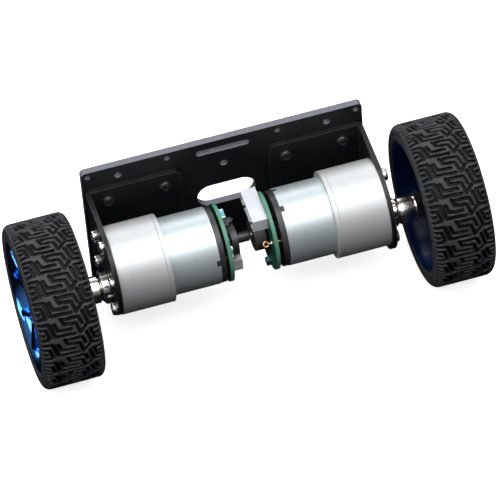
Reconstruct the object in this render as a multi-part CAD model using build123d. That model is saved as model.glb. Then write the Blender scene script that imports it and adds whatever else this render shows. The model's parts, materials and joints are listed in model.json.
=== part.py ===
"""Two-wheel self balancing robot base: a back plate, two brackets, two geared motors and two wheels.

Units are millimetres. X runs along the axle, +Y points to the back plate and +Z points up. The floor is
Z = 0, and the origin lies under the middle of the whole robot. Lengths along the axle are given as
distances from the middle of the robot, so each side uses the same numbers.
"""

import math
import os

from build123d import *

# ---------------------------------------------------------------- driving dimensions
PLATE_LENGTH = 120.0
PLATE_THICKNESS = 3.0
PLATE_FRONT = 28.5  # from the motor axis to the plate's front face
PLATE_TOP = 29.5  # above the motor axis
PLATE_CORNER = 2.0
WINDOW_LENGTH = 25.0
WINDOW_HEIGHT = 12.0
PATTERN_HEIGHT = -2.7  # middle of the window and of the hole pattern, from the motor axis
SLOT_LENGTH = 23.0
SLOT_HEIGHT = 3.0
SLOT_RISE = 26.9  # slot above the middle of the pattern
CORNER_HOLE = (57.3, 29.6, 1.25)  # across, above the middle of the pattern, radius
SIDE_HOLE = (44.6, 26.7, 1.6)
INNER_HOLE = (23.6, 29.2, 1.25)
CENTRE_HOLE = (0.0, 17.9, 1.6)
RELIEF_LENGTH = 36.0  # shallow relief in the plate's lower edge
RELIEF_HEIGHT = 4.4

BRACKET_SHEET = 2.0
BRACKET_LENGTH = 40.6
BRACKET_HALF_HEIGHT = 19.3
BRACKET_END_SHIFT = 1.6  # rounded end of the leg above or below the middle of the flange
BRACKET_BEND = 2.5
BRACKET_CORNER = 3.0
FLANGE_HOLES_ACROSS = (25.9, 50.3)
FLANGE_HOLE_HEIGHT = 12.5
FLANGE_SCREW_HEAD = (2.85, 1.65)  # radius, height
FLANGE_SCREW_SOCKET = (1.0, 0.75)  # half across the flats, floor above the seat
FACE_SCREW_HEAD = (2.75, 2.0)
FACE_SCREW_SHANK = 4.2

GEARBOX_RADIUS = 18.5
GEARBOX_WALL = 1.5
GEARBOX_START = 34.9
GEARBOX_FACE = 57.35
GEARBOX_BASE = 1.8
GEARBOX_COVER = 2.5
IDLER_PIN = 1.0
PIN_SEAT = 0.6  # floor left under an idler pin at the motor's end
PIN_CAP = 0.8  # cover left over an idler pin
BOSS_RADIUS = 6.0
BOSS_HEIGHT = 6.0
BUSH_RADIUS = 4.5
FACE_SCREWS = 6
FACE_SCREW_RING = 15.5
SHAFT_DROP_Y = -3.8  # output shaft from the motor axis
SHAFT_DROP_Z = -4.5

GEAR_MODULE = 0.4
WHEEL_TEETH = 32
PINION_TEETH = 12
PRESSURE_ANGLE = 25.0
ADDENDUM = 0.8  # in modules
DEDENDUM = 1.05  # in modules
BACKLASH = 0.08
FIRST_IDLER_ANGLE = 60.0  # first idler from the motor axis, from +Y towards +Z
STAGE_A = (38.0, 42.0)
STAGE_B = (43.0, 47.0)
STAGE_C = (48.5, 53.5)

CAN_RADIUS = 16.25
CAN_WALL = 1.2
CAN_END = 14.6
MAGNET_INNER = 12.0
CORE_RADIUS = 11.4
CORE_SPAN = (20.5, 31.0)
CORE_HUB = 4.2
POLES = 5
POLE_WIDTH = 2.6
POLE_SHOE = 1.6
SHOE_GAP = 2.0  # between two neighbouring shoes
COIL = (7.4, 4.0, 5.4)  # middle from the axis, depth along the pole, width over both sides
COIL_OVERHANG = 1.5  # beyond each end of the core
ROTOR_SHAFT = 1.2
CAP_RADIUS = 16.0
CAP_FACE = 12.2
TAB_WIDTH = 2.6
TAB_DEPTH = 1.6
BRUSH_RING = 9.0  # motor terminals from the motor axis
BRUSH_WIDTH = 2.4
BRUSH_ARM = (6.2, 0.8)  # length and thickness of the brush holder
CARBON = (2.2, 2.4)  # length and thickness of the carbon
TERMINAL_RADIUS = 0.75
TERMINAL_LENGTH = 1.6  # beyond the board
COMMUTATOR_RADIUS = 3.4

BOARD_RADIUS = 16.5
BOARD_THICKNESS = 1.6
BOARD_BORE = 3.6
HEADER_SIZE = (6.4, 18.5, 6.0)  # along the axle, along Y, along Z
HEADER_WALL = 0.8
HEADER_FLOOR = 1.4
HEADER_PINS = 6
PIN_PITCH = 2.5
PIN_HALF = 0.32
PIN_SETBACK = 1.2  # pin tips behind the header's mouth
HALL_SENSORS = ((5.2, 0.0), (0.0, 5.2))  # hidden behind the magnet disc
HALL_SIZE = (2.0, 2.0, 0.9)  # along Y, along Z, above the board: clear of the turning disc

OUTPUT_SHAFT = 3.0
SHAFT_THREAD = 1.25  # threaded hole in the shaft's end
SHAFT_END = 84.5
HUB_START = 63.9
HUB_ACROSS_FLATS = 12.0
HUB_BODY = 5.75
HUB_NECK = (70.0, 71.2)
HUB_END = 80.0
SET_SCREW_AT = 67.0

TYRE_RADIUS = 34.75
TYRE_INNER_FACE = 70.2
TYRE_OUTER_FACE = 96.1
TYRE_SHOULDER = 3.0
TYRE_WALL = 2.4
RIM_RADIUS = 26.4
RIM_WALL = 1.5
RIM_LIP = 27.6
SPOKES = 10
SPOKE_PLANE = (86.0, 93.0)
SPOKE_WIDTH = 2.6
SPOKE_ROOT = 8.5
RIM_HUB_RADIUS = 9.5
RIM_HUB_START = 77.0
RIM_RECESS = 2.5  # recess for the wheel screw's head

RUNNING_GAP = 0.03  # radial clearance of everything that turns
FITTED_GAP = 0.02  # radial clearance of everything that is screwed or pressed
SCREW_GAP = 0.1  # radial clearance of a screw in its through hole

# What differs between the two sides. Tabs and terminals are given by their angles, and small parts by
# their middle in Y and Z, their size in Y and Z and their height above the board.
SIDES = {
    "left": {
        "board": 9.4,
        "magnet": (6.6, 4.2, 6.8),  # radius, start and end along the axle
        "magnet_hub": (2.2, -1.3, 8.6),
        "shaft_end": -1.5,
        "header": (-4.5, -14.5),
        "tabs": (41, 161, 281),
        "terminals": 0,
        "small_parts": (
            (3.4, 13.9, 2.2, 1.3, 0.8),
            (-12.4, 7.6, 1.4, 3.6, 0.8),
            (0.0, 11.3, 4.0, 1.5, 2.4),
        ),
        "end_shift": BRACKET_END_SHIFT,
    },
    "right": {
        "board": 8.6,
        "magnet": (7.1, 2.6, 7.4),
        "magnet_hub": (3.0, 2.4, 8.0),
        "shaft_end": 2.1,
        "header": (-5.5, 7.5),
        "tabs": (60, 105, 240, 285),
        "terminals": 168,
        "small_parts": ((-3.7, -14.9, 2.2, 1.3, 0.8),),
        "end_shift": -BRACKET_END_SHIFT,
    },
}

# ---------------------------------------------------------------- derived places
SCREW_RADIUS = 1.5
SCREW_LENGTH = 8.0
NUT_HEIGHT = 2.4
NUT_HALF_FLATS = 2.75
MOTOR_HEIGHT = TYRE_RADIUS - SHAFT_DROP_Z  # the tyres stand on the floor
FRONT = SHAFT_DROP_Y - TYRE_RADIUS
BACK = PLATE_FRONT - BRACKET_SHEET + SCREW_LENGTH
MOTOR_Y = -(FRONT + BACK) / 2
PLATE_BACK = PLATE_FRONT + PLATE_THICKNESS
LEG_FACE = GEARBOX_FACE + BRACKET_SHEET
CENTRE_DISTANCE = GEAR_MODULE * (WHEEL_TEETH + PINION_TEETH) / 2


def idler_centres():
    """Both idler centres, one stage apart from the motor axis, each other and the output shaft."""
    angle = math.radians(FIRST_IDLER_ANGLE)
    first = Vector(CENTRE_DISTANCE * math.cos(angle), CENTRE_DISTANCE * math.sin(angle))
    output = Vector(SHAFT_DROP_Y, SHAFT_DROP_Z)
    half = (output - first) * 0.5
    reach = math.sqrt(CENTRE_DISTANCE**2 - half.length**2)
    second = first + half + Vector(-half.Y, half.X) * (reach / half.length)
    return first, second, output


FIRST_IDLER, SECOND_IDLER, OUTPUT = idler_centres()
MOTOR = Vector(0, 0)

parts = {}


# ---------------------------------------------------------------- helpers
def across(x, centre=MOTOR):
    """Work plane square to the axle at distance x, with its axes along Y and Z."""
    return Plane(
        origin=(x, MOTOR_Y + centre.X, MOTOR_HEIGHT + centre.Y), x_dir=(0, 1, 0), z_dir=(1, 0, 0)
    )


def upright(y):
    """Work plane facing the back at distance y from the motor axis, with its axes along X and Z."""
    return Plane(origin=(0, MOTOR_Y + y, MOTOR_HEIGHT), x_dir=(1, 0, 0), z_dir=(0, -1, 0))


def disc(radius, start, end, centre=MOTOR):
    """Round bar along the axle from start to end."""
    return extrude(across(start, centre) * Circle(radius), end - start)


def ring(outer, inner, start, end, centre=MOTOR):
    """Tube along the axle from start to end."""
    return extrude(across(start, centre) * (Circle(outer) - Circle(inner)), end - start)


def slab(start, end, low, high):
    """Box from start to end along the axle and between two corners in Y and Z."""
    size = (end - start, high[0] - low[0], high[1] - low[1])
    middle = ((start + end) / 2, (low[0] + high[0]) / 2 + MOTOR_Y, (low[1] + high[1]) / 2 + MOTOR_HEIGHT)
    return Pos(*middle) * Box(*size)


def turned(profile, centre):
    """Revolve an outline of (axle distance, radius) points about the axle line through centre."""
    axis = Axis((0, MOTOR_Y + centre.X, MOTOR_HEIGHT + centre.Y), (1, 0, 0))
    place = Plane(origin=axis.position, x_dir=(1, 0, 0), z_dir=(0, -1, 0))
    return revolve(place * profile, axis)


def around(count, radius, start=0.0):
    """Points evenly spaced on a circle."""
    angles = [math.radians(start + 360 * step / count) for step in range(count)]
    return [Vector(radius * math.cos(angle), radius * math.sin(angle)) for angle in angles]


def joined(pieces):
    """One body from pieces that touch or overlap."""
    pieces = list(pieces)
    result = pieces[0]
    for piece in pieces[1:]:
        result = result + piece
    return result


def for_side(side, shape):
    """Mirror a right-hand shape to the left side."""
    return shape if side == "right" else mirror(shape, about=Plane.YZ)


def export(name, shapes):
    """Keep one node: a single shape, or a list of separate solids."""
    shapes = shapes if isinstance(shapes, (list, tuple)) else [shapes]
    solids = [solid for shape in shapes for solid in shape.solids()]
    parts[name] = solids[0] if len(solids) == 1 else Compound(children=solids)


# ---------------------------------------------------------------- chassis plate
def mirrored_holes(hole):
    """One hole repeated left and right, above and below the middle of the pattern."""
    across_x, rise, radius = hole
    xs = sorted({-across_x, across_x})
    return [Pos(x, PATTERN_HEIGHT + z) * Circle(radius) for x in xs for z in (-rise, rise)]


def chassis_plate():
    height = PLATE_TOP + MOTOR_HEIGHT
    middle = (PLATE_TOP - MOTOR_HEIGHT) / 2
    outline = Pos(0, middle) * RectangleRounded(PLATE_LENGTH, height, PLATE_CORNER)
    outline -= Pos(0, PATTERN_HEIGHT) * SlotOverall(WINDOW_LENGTH, WINDOW_HEIGHT)
    outline -= Pos(0, PATTERN_HEIGHT + SLOT_RISE) * SlotOverall(SLOT_LENGTH, SLOT_HEIGHT)
    outline -= Pos(0, -MOTOR_HEIGHT) * RectangleRounded(RELIEF_LENGTH, 2 * RELIEF_HEIGHT, PLATE_CORNER)
    for hole in (CORNER_HOLE, SIDE_HOLE, INNER_HOLE, CENTRE_HOLE):
        for cut in mirrored_holes(hole):
            outline -= cut
    for x, z in flange_screw_places():
        outline -= Pos(x, z) * Circle(SCREW_RADIUS + SCREW_GAP)
    return extrude(upright(PLATE_BACK) * outline, PLATE_THICKNESS)


def flange_screw_places():
    """Places of the eight bracket screws, in X and Z from the motor axis."""
    xs = [side * x for side in (-1, 1) for x in FLANGE_HOLES_ACROSS]
    return [(x, z) for x in xs for z in (-FLANGE_HOLE_HEIGHT, FLANGE_HOLE_HEIGHT)]


# ---------------------------------------------------------------- motor bracket
def motor_bracket(end_shift):
    """Angle bracket: a flange on the plate and a round-ended leg on the gearbox's face."""
    flange_front = PLATE_FRONT - BRACKET_SHEET
    inner_end = LEG_FACE - BRACKET_LENGTH
    strip = Pos(flange_front / 2, 0) * Rectangle(flange_front, 2 * BRACKET_HALF_HEIGHT)
    end = Pos(0, end_shift) * Circle(BRACKET_HALF_HEIGHT)
    leg_outline = make_hull(strip.edges() + end.edges())
    leg_outline -= Pos(SHAFT_DROP_Y, SHAFT_DROP_Z) * Circle(BOSS_RADIUS + SCREW_GAP)
    for point in around(FACE_SCREWS, FACE_SCREW_RING, 90):
        leg_outline -= Pos(point.X, point.Y) * Circle(SCREW_RADIUS + SCREW_GAP)
    leg = extrude(across(GEARBOX_FACE) * leg_outline, BRACKET_SHEET)
    flange_outline = Pos((inner_end + GEARBOX_FACE) / 2, 0) * Rectangle(
        GEARBOX_FACE - inner_end, 2 * BRACKET_HALF_HEIGHT
    )
    flange_outline = fillet(flange_outline.vertices().sort_by(Axis.X)[:2], BRACKET_CORNER)
    for x in FLANGE_HOLES_ACROSS:
        for z in (-FLANGE_HOLE_HEIGHT, FLANGE_HOLE_HEIGHT):
            flange_outline -= Pos(x, z) * Circle(SCREW_RADIUS + SCREW_GAP)
    flange = extrude(upright(PLATE_FRONT) * flange_outline, BRACKET_SHEET)
    corner = slab(
        GEARBOX_FACE,
        LEG_FACE,
        (flange_front - 0.01, -BRACKET_HALF_HEIGHT),
        (PLATE_FRONT, BRACKET_HALF_HEIGHT),
    )
    bracket = leg + flange + corner
    edge = bracket.edges().filter_by(Axis.Z).sort_by(lambda e: e.center().X + e.center().Y)[-1]
    return fillet(edge, BRACKET_BEND)


# ---------------------------------------------------------------- fasteners
def cross_head(radius, height):
    """Pan head on the plane Z = 0, with a cross recess in its top."""
    head = extrude(Circle(radius), height)
    head = fillet(head.edges().sort_by(Axis.Z)[-1], height * 0.45)
    length, width, depth = radius * 1.15, radius * 0.26, height * 0.9
    recess = Box(length, width, depth) + Box(width, length, depth)
    return head - Pos(0, 0, height) * recess


def flange_screw(x, z):
    """Black button-head screw through flange and plate, with a hexagonal socket."""
    radius, height = FLANGE_SCREW_HEAD
    across_flats, floor = FLANGE_SCREW_SOCKET
    head = extrude(Circle(radius), height)
    head = fillet(head.edges().sort_by(Axis.Z)[-1], 1.2)
    head -= Pos(0, 0, floor) * extrude(RegularPolygon(across_flats, 6, major_radius=False), height)
    screw = head + Pos(0, 0, -SCREW_LENGTH) * Cylinder(
        SCREW_RADIUS, SCREW_LENGTH, align=(Align.CENTER, Align.CENTER, Align.MIN)
    )
    place = upright(PLATE_FRONT - BRACKET_SHEET)
    return place * Pos(x, z, 0) * screw


def flange_nut(x, z):
    """Hexagonal nut behind the plate."""
    outline = RegularPolygon(NUT_HALF_FLATS, 6, major_radius=False) - Circle(SCREW_RADIUS + FITTED_GAP)
    nut = extrude(outline, NUT_HEIGHT)
    rounded = Cylinder(NUT_HALF_FLATS + 0.3, NUT_HEIGHT, align=(Align.CENTER, Align.CENTER, Align.MIN))
    rounded = chamfer(rounded.edges().filter_by(GeomType.CIRCLE), 0.3)
    return upright(PLATE_BACK + NUT_HEIGHT) * Pos(x, z, 0) * (nut & rounded)


def motor_screw(point):
    """Pan-head screw through the bracket into the gearbox cover."""
    shank = Cylinder(SCREW_RADIUS, FACE_SCREW_SHANK, align=(Align.CENTER, Align.CENTER, Align.MAX))
    return across(LEG_FACE, point) * (cross_head(*FACE_SCREW_HEAD) + shank)


# ---------------------------------------------------------------- gears
def involute(angle):
    return math.tan(angle) - angle


def gear_outline(teeth, tooth_at):
    """Spur gear outline with one tooth centred at the given angle in degrees."""
    pitch = GEAR_MODULE * teeth / 2
    tip = pitch + ADDENDUM * GEAR_MODULE
    root = pitch - DEDENDUM * GEAR_MODULE
    pressure = math.radians(PRESSURE_ANGLE)
    base = pitch * math.cos(pressure)
    half_at_pitch = math.pi / (2 * teeth) - BACKLASH / (4 * pitch)

    def flank(radius):
        """Half the tooth's angle at a radius, kept constant below the base circle."""
        roll = math.acos(min(1.0, base / radius))
        return half_at_pitch + involute(pressure) - involute(roll)

    def polar(radius, angle):
        return (radius * math.cos(angle), radius * math.sin(angle))

    start = max(root, base)
    middle = (start + tip) / 2
    lines = []
    for step in range(teeth):
        centre = math.radians(tooth_at) + 2 * math.pi * step / teeth
        following = centre + 2 * math.pi / teeth
        foot = flank(start)
        if start > root:
            lines.append(Line(polar(root, centre - foot), polar(start, centre - foot)))
            lines.append(Line(polar(start, centre + foot), polar(root, centre + foot)))
        for sign in (-1, 1):
            points = [polar(r, centre + sign * flank(r)) for r in (start, middle, tip)]
            lines.append(ThreePointArc(*points))
        lines.append(
            ThreePointArc(
                polar(tip, centre - flank(tip)), polar(tip, centre), polar(tip, centre + flank(tip))
            )
        )
        lines.append(
            ThreePointArc(
                polar(root, centre + foot),
                polar(root, (centre + following) / 2),
                polar(root, following - foot),
            )
        )
    return make_face(Curve() + lines)


def gear(teeth, stage, centre, tooth_at, bore):
    """Spur gear between the two faces of a stage."""
    outline = gear_outline(teeth, tooth_at) - Circle(bore)
    return extrude(across(stage[0], centre) * outline, stage[1] - stage[0])


def bearing_angle(start, end):
    """Direction from one gear centre to the next, in degrees."""
    return math.degrees(math.atan2(end.Y - start.Y, end.X - start.X))


def driven_tooth(start, end):
    """Tooth angle of a driven gear that puts a tooth space towards its driver."""
    return bearing_angle(end, start) + 180 / WHEEL_TEETH


def motor_pinion():
    tooth = bearing_angle(MOTOR, FIRST_IDLER)
    return gear(PINION_TEETH, STAGE_A, MOTOR, tooth, ROTOR_SHAFT + FITTED_GAP)


def idler(centre, driver, follower, large_stage, small_stage):
    """Compound gear: the large gear is driven and the small one drives the next stage."""
    bore = IDLER_PIN + RUNNING_GAP
    large = gear(WHEEL_TEETH, large_stage, centre, driven_tooth(driver, centre), bore)
    small = gear(PINION_TEETH, small_stage, centre, bearing_angle(centre, follower), bore)
    sleeve = ring(1.9, bore, large_stage[1], small_stage[0], centre)
    return large + sleeve + small


def output_gear():
    tooth = driven_tooth(SECOND_IDLER, OUTPUT)
    return gear(WHEEL_TEETH, STAGE_C, OUTPUT, tooth, OUTPUT_SHAFT + FITTED_GAP)


# ---------------------------------------------------------------- gearbox
def gearbox_base():
    """End plate between motor and gearbox, with seats for the idler pins."""
    end = GEARBOX_START + GEARBOX_BASE
    plate = disc(GEARBOX_RADIUS, GEARBOX_START, end)
    for centre in (FIRST_IDLER, SECOND_IDLER):
        plate -= disc(IDLER_PIN + FITTED_GAP, GEARBOX_START + PIN_SEAT, end, centre)
    plate = chamfer(plate.edges().sort_by(Axis.X)[-1], 0.2)
    return plate - disc(3.6, GEARBOX_START, end)


def gearbox_case():
    """Round case that joins the end plate and the cover."""
    start = GEARBOX_START + GEARBOX_BASE
    case = ring(GEARBOX_RADIUS, GEARBOX_RADIUS - GEARBOX_WALL, start, GEARBOX_FACE)
    rims = case.edges().filter_by(GeomType.CIRCLE)
    return chamfer([edge for edge in rims if abs(edge.radius - GEARBOX_RADIUS) < 0.01], 0.2)


def gearbox_cover():
    """Front cover with its boss, screw holes and idler pin seats."""
    start = GEARBOX_FACE - GEARBOX_COVER
    radius = GEARBOX_RADIUS - GEARBOX_WALL - FITTED_GAP
    boss_end = GEARBOX_FACE + BOSS_HEIGHT
    boss = disc(BOSS_RADIUS, GEARBOX_FACE, boss_end, OUTPUT)
    boss = chamfer(boss.edges().sort_by(Axis.X)[-1], 0.6)
    cover = disc(radius, start, GEARBOX_FACE) + boss
    cover -= disc(BUSH_RADIUS, start, boss_end, OUTPUT)
    for point in around(FACE_SCREWS, FACE_SCREW_RING, 90):
        cover -= disc(SCREW_RADIUS + FITTED_GAP, start, GEARBOX_FACE, point)
    for centre in (FIRST_IDLER, SECOND_IDLER):
        cover -= disc(IDLER_PIN + FITTED_GAP, start, GEARBOX_FACE - PIN_CAP, centre)
    return cover


def output_bushing():
    """Sintered bush pressed into the boss."""
    start = GEARBOX_FACE - GEARBOX_COVER
    end = GEARBOX_FACE + BOSS_HEIGHT
    return ring(BUSH_RADIUS - FITTED_GAP, OUTPUT_SHAFT + RUNNING_GAP, start, end, OUTPUT)


def idler_pin(centre):
    return disc(IDLER_PIN, GEARBOX_START + PIN_SEAT, GEARBOX_FACE - PIN_CAP, centre)


# ---------------------------------------------------------------- motor
def motor_can(tabs):
    """Drawn steel can with a closed front and slots for the end cap's tabs."""
    can = disc(CAN_RADIUS, CAN_END, GEARBOX_START)
    can -= disc(CAN_RADIUS - CAN_WALL, CAN_END, GEARBOX_START - CAN_WALL)
    can -= disc(ROTOR_SHAFT + 0.4, CAN_END, GEARBOX_START)
    for angle in tabs:
        can -= tab(angle, 0.0)
    return can


def tab(angle, gap):
    """Locking tab that fills a slot in the can's rim."""
    place = across(CAN_END) * Rot(0, 0, angle)
    depth = CAN_WALL + 0.6
    block = Box(depth, TAB_WIDTH - 2 * gap, TAB_DEPTH, align=(Align.CENTER, Align.CENTER, Align.MIN))
    block = place * Pos(CAN_RADIUS - depth / 2, 0, 0) * block
    return block & disc(CAN_RADIUS - gap, CAN_END, CAN_END + TAB_DEPTH)


def field_magnets():
    """Two arc magnets inside the can."""
    outer = CAN_RADIUS - CAN_WALL - FITTED_GAP
    whole = ring(outer, MAGNET_INNER, CORE_SPAN[0] - 1, CORE_SPAN[1] + 1)
    gap = slab(CORE_SPAN[0] - 2, CORE_SPAN[1] + 2, (-20, -4), (20, 4))
    return whole - gap


def end_cap(tabs, terminals):
    """Black plastic end cap with a rear bearing boss."""
    plug = CAN_RADIUS - CAN_WALL - FITTED_GAP
    cap = disc(CAP_RADIUS, CAP_FACE, CAN_END) + ring(plug, plug - 1.6, CAN_END, CAN_END + 2.4)
    cap = joined([cap] + [tab(angle, FITTED_GAP) for angle in tabs])
    boss_face = CAP_FACE - 0.6
    cap += disc(4.0, boss_face, CAP_FACE)
    cap -= disc(ROTOR_SHAFT + RUNNING_GAP, boss_face, CAN_END)
    for point in around(2, BRUSH_RING, terminals):
        cap -= disc(1.6, CAP_FACE, CAN_END, point)
    return cap


def brush(angle, face, corner):
    """Brush holder, carbon and terminal on one side of the commutator."""
    point = around(1, BRUSH_RING, angle)[0]
    _, _, low, high = header_box(face, corner)
    covered = low[0] < point.X < high[0] and low[1] < point.Y < high[1]
    terminal = disc(TERMINAL_RADIUS, face if covered else face - TERMINAL_LENGTH, CAN_END, point)
    place = across(CAN_END) * Rot(0, 0, angle) * Pos(COMMUTATOR_RADIUS + 0.05, 0, 0)
    corner_at = (Align.MIN, Align.CENTER, Align.MIN)
    arm = place * Box(BRUSH_ARM[0], BRUSH_WIDTH, BRUSH_ARM[1], align=corner_at)
    carbon = place * Pos(0, 0, BRUSH_ARM[1]) * Box(CARBON[0], BRUSH_WIDTH, CARBON[1], align=corner_at)
    return terminal + arm + carbon


def motor_shaft(end):
    return disc(ROTOR_SHAFT, end, STAGE_A[1] + 0.4)


def armature_core():
    """Laminated core with one pole for each winding."""
    bore = ROTOR_SHAFT + FITTED_GAP
    core = ring(CORE_HUB, bore, *CORE_SPAN)
    span = 360 / POLES
    start, length = CORE_SPAN[0], CORE_SPAN[1] - CORE_SPAN[0]
    seated = (Align.CENTER, Align.CENTER, Align.MIN)
    shoe = ring(CORE_RADIUS, CORE_RADIUS - POLE_SHOE, *CORE_SPAN)
    web_root, web_end = CORE_HUB - 2.2, CORE_RADIUS - 0.4
    for step in range(POLES):
        turn = Rot(0, 0, step * span)
        next_turn = Rot(0, 0, (step + 0.5) * span)
        web = Box(web_end - web_root, POLE_WIDTH, length, align=seated)
        slot = Box(3 * POLE_SHOE, SHOE_GAP, length, align=seated)
        core += across(start) * turn * Pos((web_root + web_end) / 2, 0, 0) * web
        shoe -= across(start) * next_turn * Pos(CORE_RADIUS, 0, 0) * slot
    return core + shoe


def armature_windings():
    """Two coil sides beside each pole, joined over both ends of the core."""
    start, end = CORE_SPAN
    middle, depth, width = COIL
    seated = (Align.CENTER, Align.CENTER, Align.MIN)
    outer = Box(depth, width, end - start + 2 * COIL_OVERHANG, align=seated)
    outer = Pos(middle, 0, -COIL_OVERHANG) * fillet(outer.edges().filter_by(Axis.X), 1.0)
    space = Box(2 * depth, POLE_WIDTH + 2 * FITTED_GAP, end - start + 2 * FITTED_GAP, align=seated)
    coil = outer - Pos(middle, 0, -FITTED_GAP) * space
    return [across(start) * Rot(0, 0, step * 360 / POLES) * coil for step in range(POLES)]


def commutator():
    """Copper commutator between the end cap and the armature."""
    return ring(COMMUTATOR_RADIUS, ROTOR_SHAFT + FITTED_GAP, CAN_END + 0.4, CORE_SPAN[0] - 1.6)


# ---------------------------------------------------------------- encoder
def encoder_magnet(magnet, hub):
    """Magnet disc on a hub, pressed on the motor shaft's tail."""
    start, end = hub[1:]
    return disc(*magnet) + disc(*hub) - disc(ROTOR_SHAFT + FITTED_GAP, start, end)


def encoder_board(face, terminals):
    """Round circuit board behind the end cap."""
    back = face + BOARD_THICKNESS
    board = disc(BOARD_RADIUS, face, back) - disc(BOARD_BORE, face, back)
    for point in around(2, BRUSH_RING, terminals):
        board -= disc(TERMINAL_RADIUS + FITTED_GAP, face, back, point)
    return board


def header_box(face, corner):
    """Corner points of the header, standing on the board's face."""
    depth, length, height = HEADER_SIZE
    return (face - depth, face, corner, (corner[0] + length, corner[1] + height))


def board_header(face, corner):
    """Shrouded connector with its mouth away from the board."""
    start, end, low, high = header_box(face, corner)
    wall = HEADER_WALL
    shell = slab(start, end, low, high)
    floor = end - HEADER_FLOOR
    hollow = slab(start, floor, (low[0] + wall, low[1] + wall), (high[0] - wall, high[1] - wall))
    key_height = low[1] + wall * 2.2
    keys = [
        slab(start, start + 3.2, (low[0] + shift, low[1]), (low[0] + shift + 1.6, key_height))
        for shift in (3.6, HEADER_SIZE[1] - 5.2)
    ]
    return shell - hollow - keys[0] - keys[1]


def board_parts(face, corner, small_parts):
    """Header pins, the hall sensors and the small parts on the board."""
    start, end, low, high = header_box(face, corner)
    row = (low[1] + high[1]) / 2
    first = (low[0] + high[0] - PIN_PITCH * (HEADER_PINS - 1)) / 2
    pieces = []
    for step in range(HEADER_PINS):
        y = first + PIN_PITCH * step
        tip = (y - PIN_HALF, row - PIN_HALF)
        pieces.append(slab(start + PIN_SETBACK, end - HEADER_FLOOR, tip, (y + PIN_HALF, row + PIN_HALF)))
    sensors = [(*place, *HALL_SIZE) for place in HALL_SENSORS]
    for y, z, width, height, thickness in (*sensors, *small_parts):
        low_corner = (y - width / 2, z - height / 2)
        pieces.append(slab(face - thickness, face, low_corner, (y + width / 2, z + height / 2)))
    return pieces


# ---------------------------------------------------------------- wheel
def output_shaft():
    """D-shaped output shaft, threaded at its end for the wheel screw."""
    shaft = disc(OUTPUT_SHAFT, STAGE_C[0] - 0.4, SHAFT_END, OUTPUT)
    flat = slab(
        GEARBOX_FACE + BOSS_HEIGHT,
        SHAFT_END,
        (SHAFT_DROP_Y + OUTPUT_SHAFT - 0.5, SHAFT_DROP_Z - 4),
        (SHAFT_DROP_Y + 4, SHAFT_DROP_Z + 4),
    )
    bore = disc(SHAFT_THREAD, SHAFT_END - 5, SHAFT_END, OUTPUT)
    return chamfer((shaft - flat).edges().sort_by(Axis.X)[-1], 0.2) - bore


def hexagon_bar(half_across_flats, start, end):
    outline = RegularPolygon(half_across_flats, 6, major_radius=False)
    return extrude(across(start, OUTPUT) * outline, end - start)


def wheel_hub():
    """Coupling with a round collar by the gearbox and a hexagon inside the rim."""
    collar = disc(HUB_BODY, HUB_START, HUB_NECK[0], OUTPUT)
    collar = chamfer(collar.edges().sort_by(Axis.X)[0], 0.5)
    neck = disc(HUB_BODY - 0.7, *HUB_NECK, OUTPUT)
    hexagon = hexagon_bar(HUB_ACROSS_FLATS / 2, HUB_NECK[1], HUB_END)
    hub = collar + neck + hexagon
    hub -= disc(OUTPUT_SHAFT + FITTED_GAP, HUB_START, HUB_END, OUTPUT)
    return hub - set_screw_space(SCREW_RADIUS + FITTED_GAP)


def set_screw_place():
    """Frame at the shaft's axis whose Z points along the set screw, square to the shaft's flat."""
    return Pos(SET_SCREW_AT, MOTOR_Y + SHAFT_DROP_Y, MOTOR_HEIGHT + SHAFT_DROP_Z) * Rot(-90, 0, 0)


def set_screw_space(radius):
    bar = Cylinder(radius, HUB_BODY + 1, align=(Align.CENTER, Align.CENTER, Align.MIN))
    return set_screw_place() * bar


def hub_set_screw():
    """Headless screw that clamps the coupling on the shaft's flat."""
    screw = Cylinder(SCREW_RADIUS, 2.9, align=(Align.CENTER, Align.CENTER, Align.MIN))
    screw -= Pos(0, 0, 1.6) * extrude(RegularPolygon(0.75, 6, major_radius=False), 2)
    return set_screw_place() * Pos(0, 0, OUTPUT_SHAFT - 0.45) * screw


def tyre():
    """Tyre with a hollow carcass, round shoulders and beads on the rim."""
    inner, outer = TYRE_INNER_FACE, TYRE_OUTER_FACE
    width = outer - inner
    middle = (inner + outer) / 2
    section = Pos(middle, (TYRE_RADIUS + RIM_RADIUS) / 2) * Rectangle(width, TYRE_RADIUS - RIM_RADIUS)
    section = fillet(section.vertices().sort_by(Axis.Y)[-2:], TYRE_SHOULDER)
    hollow_top = TYRE_RADIUS - TYRE_WALL
    hollow = Pos(middle, (hollow_top + RIM_RADIUS) / 2) * Rectangle(
        width - 2 * TYRE_WALL, hollow_top - RIM_RADIUS
    )
    section -= fillet(hollow.vertices().sort_by(Axis.Y)[-2:], 1.5)
    lip_space = RIM_LIP - RIM_RADIUS + 0.1
    for x in (inner, outer):
        section -= Pos(x, RIM_RADIUS) * Rectangle(3.0, 2 * lip_space)
    return turned(section, OUTPUT)


def tyre_insert():
    """Foam ring that fills the carcass."""
    inner, outer = TYRE_INNER_FACE + TYRE_WALL, TYRE_OUTER_FACE - TYRE_WALL
    top = TYRE_RADIUS - TYRE_WALL
    section = Pos((inner + outer) / 2, (top + RIM_RADIUS) / 2) * Rectangle(
        outer - inner - 0.1, top - RIM_RADIUS - 0.1
    )
    section = fillet(section.vertices().sort_by(Axis.Y)[-2:], 1.7)
    return turned(section, OUTPUT)


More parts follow.
